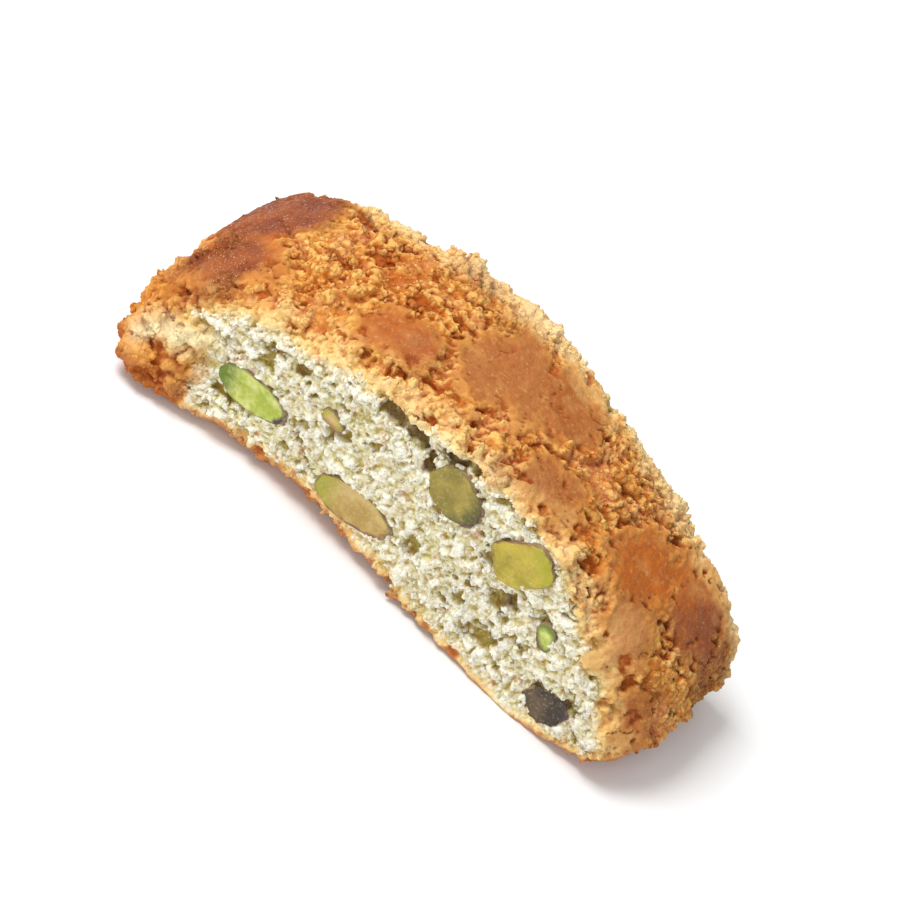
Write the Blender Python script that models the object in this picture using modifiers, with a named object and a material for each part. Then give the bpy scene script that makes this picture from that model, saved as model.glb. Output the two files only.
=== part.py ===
"""One pistachio cookie: a slice of a baked loaf, cut on both sides and baked again, resting on its flat base.
The crumb and its crust are one solid. Each large piece of pistachio that a cut face shows is its own solid,
set in a pocket of the crumb. X runs along the slice, Y through its thickness, Z up from the floor."""

import math

import bmesh
import bpy
from mathutils import Matrix, Vector, noise

MM = 0.001

# Cross-sections of the slice from the front cut to the back cut, in millimetres.
# Each has its Y place, then points round it as (x, z) or, where the crust bulges forward, (x, z, y offset):
# five along the base from left to right, two up the right end, five over the crown, two down the left end.
FRONT_CUT_Y = -14.0
BACK_CUT_Y = 13.5
SECTIONS = (
    (FRONT_CUT_Y, (
        (-27, 7.6), (-9, 4.4), (10.5, 1.7, -0.4), (28.5, -0.8, -1.6), (39, 1),
        (45, 4.5), (38.5, 9.5),
        (32, 15.5), (28, 25, 0.5), (11.5, 27.5), (-5.5, 25.5), (-20, 20.3),
        (-31, 16.5), (-32, 10),
    )),
    (-9.0, (
        (-41, -0.8, -15.5), (-19.5, -0.8), (0.5, -0.8), (22.5, -0.8), (40, -1),
        (47, 4.5), (45, 12),
        (37, 19.5), (25, 27), (8.5, 30.5), (-9.5, 29), (-26, 24.3),
        (-38.5, 14.8, -5.5), (-45.2, 1.4, -16),
    )),
    (0.0, (
        (-41.5, -0.8), (-19.5, -0.8), (0.5, -0.8), (22, -0.8), (40, -1.2),
        (47.5, 4), (46.5, 12.5),
        (36.5, 20.5), (22.5, 27), (4.5, 30.5), (-13, 30), (-31, 25.5),
        (-44.7, 18), (-46.8, 4.6),
    )),
    (BACK_CUT_Y, (
        (-36.5, -0.8), (-18, -0.8), (0, -0.8), (22, -0.8), (40, -1.5),
        (46.5, 4), (45, 13.5),
        (34, 20), (19, 25.5), (3, 31.5), (-13, 30.6), (-28, 25.2),
        (-42.5, 19.5), (-44, 6),
    )),
)
ROUNDING_LEVELS = 4  # Subdivision levels that round the cage off
GRAIN = 0.62 * MM  # mesh size while the relief is put in
BODY_TRIANGLES = 9600  # left after thinning, before the pockets are cut
CENTRING = (-0.77 * MM, 2.98 * MM)  # puts the middle of the whole part on the origin

# Smooth plates of unbroken crust, seen from above: x, y, half-length, half-width, turn in degrees.
PLATES = (
    (-38.5, 4.5, 6.4, 10.5, 0), (-37.0, -6.0, 5.2, 6.0, -20), (-32.0, -7.5, 2.6, 3.4, 30),
    (-12.0, -6.6, 7.2, 4.2, 12),
    (2.0, 0.0, 8.2, 9.2, 10), (9.5, 4.0, 7.0, 8.5, 0), (16.8, -7.8, 6.4, 4.8, 10),
    (31.5, -1.0, 6.0, 8.5, -15), (38.5, 5.5, 6.5, 8.0, 20),
    (43.0, -10.5, 3.2, 3.0, 0),
)
PLATE_LIFT = 0.45  # how far a plate stands out of the broken crust round it
PLATE_EDGE = 0.45  # half the width of the step at its torn edge
PLATE_DENTS = (0.22, 0.18)  # shallow dents in a plate: how many to the millimetre, and height
EDGE_WANDER = ((0.30, 1.5), (0.80, 0.9))  # how the torn edge wanders: how many to the millimetre, and reach
GROOVE_DEPTH, GROOVE_AT, GROOVE_WIDTH = 0.45, 0.9, 0.6  # the groove outside the torn edge
# Places inside a plate where the broken crust shows through: x, y, radius.
PLATE_GAPS = ((-41.0, -4.5, 2.2), (-35.0, -10.8, 1.8), (5.0, -7.0, 1.3), (24.5, 1.0, 1.6))

# Lumps of the broken crust and of the crumb: size and height.
CRUST_LUMPS = ((4.2, 1.30), (2.3, 0.85))
CRUMB_LUMPS = ((3.0, 0.45), (1.7, 0.25))
LUMP_REACH, LUMP_MEAN = 0.85, 0.6  # where a lump ends, as a share of its size, and its mean height
CRUST_WAVES = (11.0, 0.55)  # broad waves of the crust: length and height

# The cut faces: how squarely a surface has to face front or back to be cut crumb, and how that border wanders.
CUT_FROM, CUT_FULL = 0.62, 0.80
CUT_WANDER = ((0.45, 0.11), (1.1, 0.07))
CUT_NEAREST = 9.0  # no cut face lies nearer to the middle than this
TOE_X, TOE_Z, TOE_BLEND = -31.0, 11.5, 2.0  # the crust toe at the front left, which the cut missed

# Holes and cracks in the cut faces: x, z, half-length, half-width, turn in degrees, depth.
HOLE_FLOOR, HOLE_RIM, HOLE_WANDER = 0.45, 1.15, 0.22  # where a hole's floor ends and its rim starts
FRONT_HOLES = (
    (-5.2, 23.8, 2.4, 1.5, 20, 1.6), (-0.8, 24.0, 2.6, 1.0, -15, 1.7), (6.2, 25.8, 4.6, 0.9, 12, 2.2),
    (2.6, 22.2, 1.0, 2.2, 0, 1.7), (21.8, 13.8, 1.9, 1.4, 0, 1.2), (-19.0, 18.6, 1.6, 0.9, 10, 1.0),
    (13.5, 7.0, 1.3, 1.0, 0, 0.9), (29.0, 20.0, 1.4, 0.9, -40, 1.1), (-27.5, 13.4, 1.3, 0.7, 0, 0.8),
)
BACK_HOLES = (
    (-22.0, 11.0, 2.2, 1.2, 15, 1.4), (8.5, 22.5, 2.8, 1.0, -10, 1.6), (17.5, 8.0, 1.6, 1.3, 0, 1.2),
    (-4.0, 7.5, 1.5, 1.0, 30, 1.1), (30.0, 12.5, 1.4, 1.1, 0, 1.2), (-34.0, 14.0, 1.6, 0.9, 0, 1.0),
)

# The relief fades out on the base and just above it.
BASE_FACES = (-0.75, -0.90)
BASE_FADE = (-0.4, 0.8)

# Pistachio pieces: name, x, z, half-length, half-height, half-depth, turn in degrees, squareness, face.
FRONT, BACK = -1, 1
PISTACHIOS = (
    ("pistachio_front_left", -23.0, 9.6, 6.0, 2.8, 3.6, 7, 2.0, FRONT),
    ("pistachio_front_low", -3.0, 7.2, 6.5, 2.9, 3.4, 8, 2.1, FRONT),
    ("pistachio_front_crown", 8.0, 21.2, 4.4, 3.6, 3.8, -14, 2.3, FRONT),
    ("pistachio_front_right", 20.3, 20.4, 4.6, 3.4, 3.3, 42, 3.0, FRONT),
    ("pistachio_front_end", 33.4, 4.9, 3.3, 2.5, 3.0, 38, 2.8, FRONT),
    ("pistachio_back_left", -28.5, 8.2, 5.4, 2.8, 3.4, -8, 2.0, BACK),
    ("pistachio_back_middle", -8.5, 18.5, 6.0, 3.0, 3.6, 12, 2.1, BACK),
    ("pistachio_back_right", 24.5, 16.0, 4.4, 3.1, 3.4, -20, 2.6, BACK),
)
FACE_PROUD = 0.25  # how far the cut side of a pistachio stands out of the cut crumb
POCKET_GAP = 0.32  # clear space between a pistachio and the crumb
KERNEL_ROUND, KERNEL_LONG = 14, 9  # facets round and along a pistachio
KERNEL_TAPER, KERNEL_LUMP, KERNEL_LUMPS = 0.10, 0.05, 1.7  # slimmer at one end, and a little uneven
KERNEL_SUNK = 0.20  # how far its middle lies inside the cut, as a share of its half-depth

CRUMB_LOOK = ((0.72, 0.45, 0.20), 0.85)
PISTACHIO_LOOK = ((0.42, 0.42, 0.12), 0.6)


def clear_scene():
    for obj in list(bpy.data.objects):
        bpy.data.objects.remove(obj)


def collection(name):
    made = bpy.data.collections.new(name)
    bpy.context.scene.collection.children.link(made)
    return made


def material(name, look):
    colour, roughness = look
    made = bpy.data.materials.new(name)
    made.use_nodes = True
    shader = made.node_tree.nodes["Principled BSDF"]
    shader.inputs["Base Color"].default_value = (*colour, 1)
    shader.inputs["Roughness"].default_value = roughness
    shader.inputs["Metallic"].default_value = 0.0
    return made


def new_object(name, mesh, home, look=None):
    obj = bpy.data.objects.new(name, mesh)
    home.objects.link(obj)
    if look:
        mesh.materials.append(look)
    return obj


def finished_mesh(obj, name):
    """The object's mesh with its modifiers applied; the object itself is removed."""
    graph = bpy.context.evaluated_depsgraph_get()
    mesh = bpy.data.meshes.new_from_object(obj.evaluated_get(graph))
    mesh.name = name
    bpy.data.objects.remove(obj)
    return mesh


def smooth_step(low, high, value):
    t = min(max((value - low) / (high - low), 0.0), 1.0)
    return t * t * (3 - 2 * t)


def slice_cage():
    """A coarse cage: one ring of corners for each section, with sharp edges round both cuts."""
    bm = bmesh.new()
    corners = len(SECTIONS[0][1])
    ring = bmesh.ops.create_circle(bm, cap_ends=True, segments=corners, radius=1)["verts"]
    rings = [list(ring)]
    end = list(bm.faces)
    for _ in SECTIONS[1:]:
        made = bmesh.ops.extrude_face_region(bm, geom=end)["geom"]
        fresh = {part for part in made if isinstance(part, bmesh.types.BMVert)}
        if len(rings) > 1:
            bmesh.ops.delete(bm, geom=end, context="FACES_ONLY")
        end = [part for part in made if isinstance(part, bmesh.types.BMFace)]
        rings.append([
            next(edge.other_vert(vert) for edge in vert.link_edges if edge.other_vert(vert) in fresh)
            for vert in rings[-1]
        ])
    for (y, points), ring in zip(SECTIONS, rings):
        for vert, (x, z, *offset) in zip(ring, points):
            vert.co = Vector((x, y + sum(offset), z)) * MM
    crease = bm.edges.layers.float.new("crease_edge")
    for ring in (rings[0], rings[-1]):
        for a, b in zip(ring, ring[1:] + ring[:1]):
            bm.edges.get((a, b))[crease] = 1.0
    bmesh.ops.recalc_face_normals(bm, faces=bm.faces)
    mesh = bpy.data.meshes.new("slice_cage")
    bm.to_mesh(mesh)
    bm.free()
    return mesh


def turned(x, z, cx, cz, degrees):
    """(x, z) as seen from a centre, turned back by an angle."""
    angle = math.radians(degrees)
    dx, dz = x - cx, z - cz
    return dx * math.cos(angle) + dz * math.sin(angle), dz * math.cos(angle) - dx * math.sin(angle)


def wandering(p, rows):
    return sum(reach * noise.noise(p * often) for often, reach in rows)


def plate_distance(p):
    """Millimetres to the edge of the nearest plate, less than zero inside one. The edge wanders."""
    near = 99.0
    for cx, cy, length, width, degrees in PLATES:
        u, v = turned(p.x, p.y, cx, cy, degrees)
        near = min(near, (math.hypot(u / length, v / width) - 1) * min(length, width))
    for cx, cy, radius in PLATE_GAPS:
        near = max(near, radius - math.hypot(p.x - cx, p.y - cy))
    return near + wandering(p, EDGE_WANDER)


def cut_share(p, n):
    """1 on the two cut faces, 0 on the crust, with a wandering border."""
    if abs(p.y) < CUT_NEAREST:
        return 0.0
    wander = wandering(p, CUT_WANDER)
    front = smooth_step(CUT_FROM, CUT_FULL, -n.y + wander)
    toe = smooth_step(TOE_X, TOE_X - TOE_BLEND, p.x) * smooth_step(TOE_Z + TOE_BLEND, TOE_Z, p.z)
    back = smooth_step(CUT_FROM, CUT_FULL, n.y + wander)
    return max(front * (1 - toe), back)


def lumps(p, rows):
    """Rounded lumps packed side by side, about zero on average."""
    total = 0.0
    for size, height in rows:
        near = noise.voronoi(p / size + Vector((size, 2 * size, 0)))[0][0]
        total += height * (math.sqrt(max(0.0, 1 - (near / LUMP_REACH) ** 2)) - LUMP_MEAN)
    return total


def hole_depth(p, holes):
    deepest = 0.0
    for cx, cz, length, width, degrees, depth in holes:
        u, v = turned(p.x, p.z, cx, cz, degrees)
        reach = math.hypot(u / length, v / width) + HOLE_WANDER * noise.noise(p)
        deepest = max(deepest, depth * (1 - smooth_step(HOLE_FLOOR, HOLE_RIM, reach)))
    return deepest


def relief(p, n):
    """How far the baked surface stands out from the plain form at p, in millimetres."""
    length, height = CRUST_WAVES
    wave = height * noise.noise(p / length)
    crust = wave + lumps(p, CRUST_LUMPS)
    plate = wave + PLATE_LIFT + wandering(p, (PLATE_DENTS,))
    edge = plate_distance(p)
    groove = GROOVE_DEPTH * math.exp(-((edge - GROOVE_AT) / GROOVE_WIDTH) ** 2)
    share = smooth_step(PLATE_EDGE, -PLATE_EDGE, edge)
    outside = crust - groove + (plate - crust + groove) * share
    inside = lumps(p, CRUMB_LUMPS) - hole_depth(p, FRONT_HOLES if n.y < 0 else BACK_HOLES)
    cut = cut_share(p, n)
    return outside + (inside - outside) * cut


def roughen(mesh):
    """Moves each point of the plain form out or in by the relief. The base stays flat."""
    normals = [vert.normal.copy() for vert in mesh.vertices]
    for vert, n in zip(mesh.vertices, normals):
        p = vert.co / MM
        kept = (1 - smooth_step(*BASE_FACES, n.z)) * smooth_step(*BASE_FADE, p.z)
        vert.co += n * relief(p, n) * kept * MM


def level_base(mesh):
    """Cuts the form off at the floor, which leaves one flat face to rest on."""
    bm = bmesh.new()
    bm.from_mesh(mesh)
    everything = bm.verts[:] + bm.edges[:] + bm.faces[:]
    bmesh.ops.bisect_plane(bm, geom=everything, plane_co=(0, 0, 0), plane_no=(0, 0, 1), clear_inner=True)
    rim = [edge for edge in bm.edges if edge.is_boundary]
    bmesh.ops.holes_fill(bm, edges=rim, sides=0)
    bmesh.ops.recalc_face_normals(bm, faces=bm.faces)
    bm.to_mesh(mesh)
    bm.free()


def centre(mesh):
    mesh.transform(Matrix.Translation((*CENTRING, 0)))


def cookie(home, look):
    obj = new_object("slice_cage", slice_cage(), home)
    rounding = obj.modifiers.new("rounding", "SUBSURF")
    rounding.levels = rounding.render_levels = ROUNDING_LEVELS
    grain = obj.modifiers.new("grain", "REMESH")
    grain.mode = "VOXEL"
    grain.voxel_size = GRAIN
    mesh = finished_mesh(obj, "roughened")
    roughen(mesh)
    obj = new_object("roughened", mesh, home)
    thinning = obj.modifiers.new("thinning", "DECIMATE")
    thinning.ratio = BODY_TRIANGLES / sum(len(face.vertices) - 2 for face in mesh.polygons)
    mesh = finished_mesh(obj, "cookie")
    level_base(mesh)
    centre(mesh)
    return new_object("cookie", mesh, home, look)


def kernel(x, z, radii, degrees, squareness, face, grow):
    """A pistachio piece: an egg form, squarer for a broken one, made larger all round by grow."""
    length, height, depth = radii
    bm = bmesh.new()
    bmesh.ops.create_uvsphere(bm, u_segments=KERNEL_ROUND, v_segments=KERNEL_LONG, radius=1)
    for vert in bm.verts:
        d = vert.co.normalized()
        power = sum(abs(c) ** squareness for c in d) ** (-1 / squareness)
        taper = 1 - KERNEL_TAPER * d.z
        lump = 1 + KERNEL_LUMP * noise.noise(d * KERNEL_LUMPS + Vector((x, z, depth)))
        vert.co = Vector((
            d.z * power * lump * length + math.copysign(grow, d.z) * abs(d.z),
            d.y * power * lump * taper * depth + grow * d.y,
            d.x * power * lump * taper * height + grow * d.x,
        )) * MM
    turn = Matrix.Rotation(math.radians(-degrees), 4, "Y")
    y = FRONT_CUT_Y if face == FRONT else BACK_CUT_Y
    inward = -face * KERNEL_SUNK * depth
    move = Matrix.Translation(Vector((x, y + inward, z)) * MM)
    bmesh.ops.transform(bm, matrix=move @ turn, verts=bm.verts)
    return bm


def cut_flat(bm, face):
    """Takes off what the loaf knife took off and closes the cut."""
    y = (FRONT_CUT_Y if face == FRONT else BACK_CUT_Y) + face * FACE_PROUD
    everything = bm.verts[:] + bm.edges[:] + bm.faces[:]
    bmesh.ops.bisect_plane(bm, geom=everything, plane_co=(0, y * MM, 0), plane_no=(0, face, 0), clear_outer=True)
    rim = [edge for edge in bm.edges if edge.is_boundary]
    bmesh.ops.holes_fill(bm, edges=rim, sides=0)


def to_object(bm, name, home, look=None):
    bmesh.ops.recalc_face_normals(bm, faces=bm.faces)
    mesh = bpy.data.meshes.new(name)
    bm.to_mesh(mesh)
    bm.free()
    centre(mesh)
    return new_object(name, mesh, home, look)


def pistachios(body, home, cutters, look):
    for name, x, z, length, height, depth, degrees, squareness, face in PISTACHIOS:
        radii = (length, height, depth)
        piece = kernel(x, z, radii, degrees, squareness, face, 0)
        cut_flat(piece, face)
        to_object(piece, name, home, look)
        wider = kernel(x, z, radii, degrees, squareness, face, POCKET_GAP)
        cutter = to_object(wider, "pocket_for_" + name, cutters)
        cutter.hide_render = True
        cutter.display_type = "WIRE"
        pocket = body.modifiers.new("pocket_for_" + name, "BOOLEAN")
        pocket.operation = "DIFFERENCE"
        pocket.solver = "EXACT"
        pocket.object = cutter


clear_scene()
parts = collection("cookie")
pockets = collection("pocket cutters")
pockets.hide_render = True
body = cookie(parts, material("baked crust and crumb", CRUMB_LOOK))
pistachios(body, parts, pockets, material("pistachio", PISTACHIO_LOOK))
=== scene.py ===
"""A pistachio cookie: one slice of a twice-baked loaf, lit softly on a pale table top. Plain lengths are in
millimetres; times MM they are metres. X runs along the slice, Y through it, Z up."""
import math

import bmesh
import bpy
import numpy as np
from mathutils import Matrix, Vector, noise
from mathutils.kdtree import KDTree


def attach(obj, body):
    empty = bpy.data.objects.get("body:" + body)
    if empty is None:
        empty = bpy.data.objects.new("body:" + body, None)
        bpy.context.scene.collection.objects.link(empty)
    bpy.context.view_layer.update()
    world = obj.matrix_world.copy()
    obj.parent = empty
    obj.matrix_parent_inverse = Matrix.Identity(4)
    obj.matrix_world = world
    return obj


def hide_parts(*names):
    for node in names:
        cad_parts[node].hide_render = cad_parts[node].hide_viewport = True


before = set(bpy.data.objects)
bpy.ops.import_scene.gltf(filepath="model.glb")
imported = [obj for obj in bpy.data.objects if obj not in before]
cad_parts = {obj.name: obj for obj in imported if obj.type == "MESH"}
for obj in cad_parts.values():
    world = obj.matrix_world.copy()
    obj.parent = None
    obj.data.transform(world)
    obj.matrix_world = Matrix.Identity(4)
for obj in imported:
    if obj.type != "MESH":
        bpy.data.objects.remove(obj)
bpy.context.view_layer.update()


# The slice itself: dough baked as a long loaf, cut across into thick slices and baked again on its base. It
# is one piece of baked dough, and its plain form is rounded off everywhere but at the knife's edges.
MM = 0.001
FRONT_CUT_Y = -14.0
BACK_CUT_Y = 13.5
# Sections from the front cut to the back cut: y, then each corner's x and z, and how far it is moved along y.
SECTIONS = (
    (FRONT_CUT_Y, (
        (-27, 7.6), (-9, 4.4), (10.5, 1.7, -0.4), (28.5, -0.8, -1.6), (39, 1),
        (45, 4.5), (38.5, 9.5),
        (32, 15.5), (28, 25, 0.5), (11.5, 27.5), (-5.5, 25.5), (-20, 20.3),
        (-31, 16.5), (-32, 10),
    )),
    (-9.0, (
        (-41, -0.8, -15.5), (-19.5, -0.8), (0.5, -0.8), (22.5, -0.8), (40, -1),
        (47, 4.5), (45, 12),
        (37, 19.5), (25, 27), (8.5, 30.5), (-9.5, 29), (-26, 24.3),
        (-38.5, 14.8, -5.5), (-45.2, 1.4, -16),
    )),
    (0.0, (
        (-41.5, -0.8), (-19.5, -0.8), (0.5, -0.8), (22, -0.8), (40, -1.2),
        (47.5, 4), (46.5, 12.5),
        (36.5, 20.5), (22.5, 27), (4.5, 30.5), (-13, 30), (-31, 25.5),
        (-44.7, 18), (-46.8, 4.6),
    )),
    (BACK_CUT_Y, (
        (-36.5, -0.8), (-18, -0.8), (0, -0.8), (22, -0.8), (40, -1.5),
        (46.5, 4), (45, 13.5),
        (34, 20), (19, 25.5), (3, 31.5), (-13, 30.6), (-28, 25.2),
        (-42.5, 19.5), (-44, 6),
    )),
)
CENTRING = Vector((-0.77, 2.98, 0.0)) * MM
ROUNDING_LEVELS = 4
COARSE_GRAIN = 0.62 * MM


def smooth_step(low, high, value):
    t = min(max((value - low) / (high - low), 0.0), 1.0)
    return t * t * (3 - 2 * t)


def new_object(name, mesh):
    obj = bpy.data.objects.new(name, mesh)
    bpy.context.scene.collection.objects.link(obj)
    return obj


def baked_down(obj):
    """The object's mesh with its modifiers applied; the object itself is removed."""
    graph = bpy.context.evaluated_depsgraph_get()
    mesh = bpy.data.meshes.new_from_object(obj.evaluated_get(graph))
    bpy.data.objects.remove(obj)
    return mesh


def voxel_mesh(mesh, size):
    obj = new_object("regrained", mesh)
    grain = obj.modifiers.new("grain", "REMESH")
    grain.mode = "VOXEL"
    grain.voxel_size = size
    return baked_down(obj)


bm = bmesh.new()
rings = [list(bmesh.ops.create_circle(bm, cap_ends=True, segments=len(SECTIONS[0][1]), radius=1)["verts"])]
end = list(bm.faces)
for _ in SECTIONS[1:]:
    made = bmesh.ops.extrude_face_region(bm, geom=end)["geom"]
    fresh = {part for part in made if isinstance(part, bmesh.types.BMVert)}
    if len(rings) > 1:
        bmesh.ops.delete(bm, geom=end, context="FACES_ONLY")
    end = [part for part in made if isinstance(part, bmesh.types.BMFace)]
    rings.append([
        next(edge.other_vert(vert) for edge in vert.link_edges if edge.other_vert(vert) in fresh)
        for vert in rings[-1]
    ])
for (y, points), ring in zip(SECTIONS, rings):
    for vert, (x, z, *offset) in zip(ring, points):
        vert.co = Vector((x, y + sum(offset), z)) * MM
crease = bm.edges.layers.float.new("crease_edge")
for ring in (rings[0], rings[-1]):
    for a, b in zip(ring, ring[1:] + ring[:1]):
        bm.edges.get((a, b))[crease] = 1.0
bmesh.ops.recalc_face_normals(bm, faces=bm.faces)
cage = bpy.data.meshes.new("slice_cage")
bm.to_mesh(cage)
bm.free()
rounded = new_object("slice_cage", cage)
rounding = rounded.modifiers.new("rounding", "SUBSURF")
rounding.levels = rounding.render_levels = ROUNDING_LEVELS
plain_form = voxel_mesh(baked_down(rounded), COARSE_GRAIN)


# Its crust, baked dough like the rest, split as the loaf rose: smooth plates of unbroken skin stand a little
# above the craggy dough that broke open between them. The two cuts are coarser, with holes left by bubbles.
# Plates: x, y, half-length, half-width, turn in degrees and how dark it baked.
PLATES = (
    (-38.5, 4.5, 6.4, 10.5, 0, 0.95), (-37.0, -6.0, 5.2, 6.0, -20, 0.9), (-32.0, -7.5, 2.6, 3.4, 30, 0.8),
    (-12.0, -6.6, 7.2, 4.2, 12, 0.42),
    (2.0, 0.0, 8.2, 9.2, 10, 0.22), (9.5, 4.0, 7.0, 8.5, 0, 0.28), (16.8, -7.8, 6.4, 4.8, 10, 0.2),
    (31.5, -1.0, 6.0, 8.5, -15, 0.45), (38.5, 5.5, 6.5, 8.0, 20, 0.6), (35.2, -8.2, 4.8, 5.6, 0, 0.12),
    (43.0, -10.5, 3.2, 3.0, 0, 0.4),
)
PLATE_LIFT, PLATE_EDGE = 0.45, 0.45
# Wandering rows are how often to the millimetre it wanders, and how far.
PLATE_DENTS = (0.22, 0.18)
EDGE_WANDER = ((0.30, 1.5), (0.80, 0.9))
GROOVE_DEPTH, GROOVE_AT, GROOVE_WIDTH = 0.45, 0.9, 0.6
# Round bites out of the plates: x, y, radius. Rows of lumps are their size and height.
PLATE_GAPS = ((-41.0, -4.5, 2.2), (-35.0, -10.8, 1.8), (5.0, -7.0, 1.3), (24.5, 1.0, 1.6))
CRUST_LUMPS = ((4.2, 1.30), (2.3, 0.85))
CRUMB_LUMPS = ((3.0, 0.45), (1.7, 0.25))
LUMP_REACH, LUMP_MEAN = 0.85, 0.6
CRUST_WAVES = (11.0, 0.55)
CUT_FROM, CUT_FULL = 0.62, 0.80
CUT_WANDER = ((0.45, 0.11), (1.1, 0.07))
CUT_NEAREST = 9.0
CUT_UNDER = (-0.42, -0.26)
TOE_X, TOE_Z, TOE_BLEND = -31.0, 11.5, 2.0
HOLE_FLOOR, HOLE_RIM, HOLE_WANDER = 0.45, 1.15, 0.22
# Holes in the cuts: x, z, half-length, half-height, turn in degrees, depth.
FRONT_HOLES = (
    (-5.2, 23.8, 2.4, 1.5, 20, 1.6), (-0.8, 24.0, 2.6, 1.0, -15, 1.7), (6.2, 25.8, 4.6, 0.9, 12, 2.2),
    (2.6, 22.2, 1.0, 2.2, 0, 1.7), (21.8, 13.8, 1.9, 1.4, 0, 1.2), (-19.0, 18.6, 1.6, 0.9, 10, 1.0),
    (13.5, 7.0, 1.3, 1.0, 0, 0.9), (29.0, 20.0, 1.4, 0.9, -40, 1.1), (-27.5, 13.4, 1.3, 0.7, 0, 0.8),
)
BACK_HOLES = (
    (-22.0, 11.0, 2.2, 1.2, 15, 1.4), (8.5, 22.5, 2.8, 1.0, -10, 1.6), (17.5, 8.0, 1.6, 1.3, 0, 1.2),
    (-4.0, 7.5, 1.5, 1.0, 30, 1.1), (30.0, 12.5, 1.4, 1.1, 0, 1.2), (-34.0, 14.0, 1.6, 0.9, 0, 1.0),
)
BASE_FACES = (-0.75, -0.90)
BASE_FADE = (-0.4, 0.8)
FAR_AWAY = 99.0
FINE_GRAIN = 0.37 * MM


def turned(x, z, cx, cz, degrees):
    """(x, z) as seen from a centre, turned back by an angle."""
    angle = math.radians(degrees)
    dx, dz = x - cx, z - cz
    return dx * math.cos(angle) + dz * math.sin(angle), dz * math.cos(angle) - dx * math.sin(angle)


def wandering(p, rows):
    return sum(reach * noise.noise(p * often) for often, reach in rows)


def plate_at(p):
    """Millimetres to the edge of the nearest plate, less than zero inside one, and how dark that plate is."""
    near, dark = FAR_AWAY, 0.0
    for cx, cy, length, width, degrees, toasted in PLATES:
        u, v = turned(p.x, p.y, cx, cy, degrees)
        far = (math.hypot(u / length, v / width) - 1) * min(length, width)
        if far < near:
            near, dark = far, toasted
    for cx, cy, radius in PLATE_GAPS:
        near = max(near, radius - math.hypot(p.x - cx, p.y - cy))
    return near + wandering(p, EDGE_WANDER), dark


def cut_share(p, n):
    """1 on the two cut faces, 0 on the crust, with a wandering border."""
    if abs(p.y) < CUT_NEAREST:
        return 0.0
    wander = wandering(p, CUT_WANDER)
    front = smooth_step(CUT_FROM, CUT_FULL, -n.y + wander) * smooth_step(*CUT_UNDER, n.z + wander)
    toe = smooth_step(TOE_X, TOE_X - TOE_BLEND, p.x) * smooth_step(TOE_Z + TOE_BLEND, TOE_Z, p.z)
    back = smooth_step(CUT_FROM, CUT_FULL, n.y + wander)
    return max(front * (1 - toe), back)


def lumps(p, rows):
    """Rounded lumps packed side by side, about zero on average."""
    total = 0.0
    for size, height in rows:
        near = noise.voronoi(p / size + Vector((size, 2 * size, 0)))[0][0]
        total += height * (math.sqrt(max(0.0, 1 - (near / LUMP_REACH) ** 2)) - LUMP_MEAN)
    return total


def hole_depth(p, holes):
    deepest = 0.0
    for cx, cz, length, width, degrees, depth in holes:
        u, v = turned(p.x, p.z, cx, cz, degrees)
        reach = math.hypot(u / length, v / width) + HOLE_WANDER * noise.noise(p)
        deepest = max(deepest, depth * (1 - smooth_step(HOLE_FLOOR, HOLE_RIM, reach)))
    return deepest


plain_values = []  # for each point of the plain form: share of cut, depth of hole, how far it faces down
for vert, n in zip(plain_form.vertices, [vert.normal.copy() for vert in plain_form.vertices]):
    p = vert.co / MM
    length, height = CRUST_WAVES
    wave = height * noise.noise(p / length)
    crust = wave + lumps(p, CRUST_LUMPS)
    plate = wave + PLATE_LIFT + wandering(p, (PLATE_DENTS,))
    edge = plate_at(p)[0]
    groove = GROOVE_DEPTH * math.exp(-((edge - GROOVE_AT) / GROOVE_WIDTH) ** 2)
    share = smooth_step(PLATE_EDGE, -PLATE_EDGE, edge)
    outside = crust - groove + (plate - crust + groove) * share
    hole = hole_depth(p, FRONT_HOLES if n.y < 0 else BACK_HOLES)
    inside = lumps(p, CRUMB_LUMPS) - hole
    cut = cut_share(p, n)
    kept = (1 - smooth_step(*BASE_FACES, n.z)) * smooth_step(*BASE_FADE, p.z)
    vert.co += n * (outside + (inside - outside) * cut) * kept * MM
    plain_values.append(Vector((cut, hole * cut, max(0.0, -n.z))))
plain_tree = KDTree(len(plain_form.vertices))
for index, vert in enumerate(plain_form.vertices):
    plain_tree.insert(vert.co, index)
plain_tree.balance()

bm = bmesh.new()
bm.from_mesh(plain_form)
everything = bm.verts[:] + bm.edges[:] + bm.faces[:]
bmesh.ops.bisect_plane(bm, geom=everything, plane_co=(0, 0, 0), plane_no=(0, 0, 1), clear_inner=True)
bmesh.ops.holes_fill(bm, edges=[edge for edge in bm.edges if edge.is_boundary], sides=0)
bmesh.ops.recalc_face_normals(bm, faces=bm.faces)
bm.to_mesh(plain_form)
bm.free()
slice_mesh = voxel_mesh(plain_form, FINE_GRAIN)
slice_mesh.name = "cookie"


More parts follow.
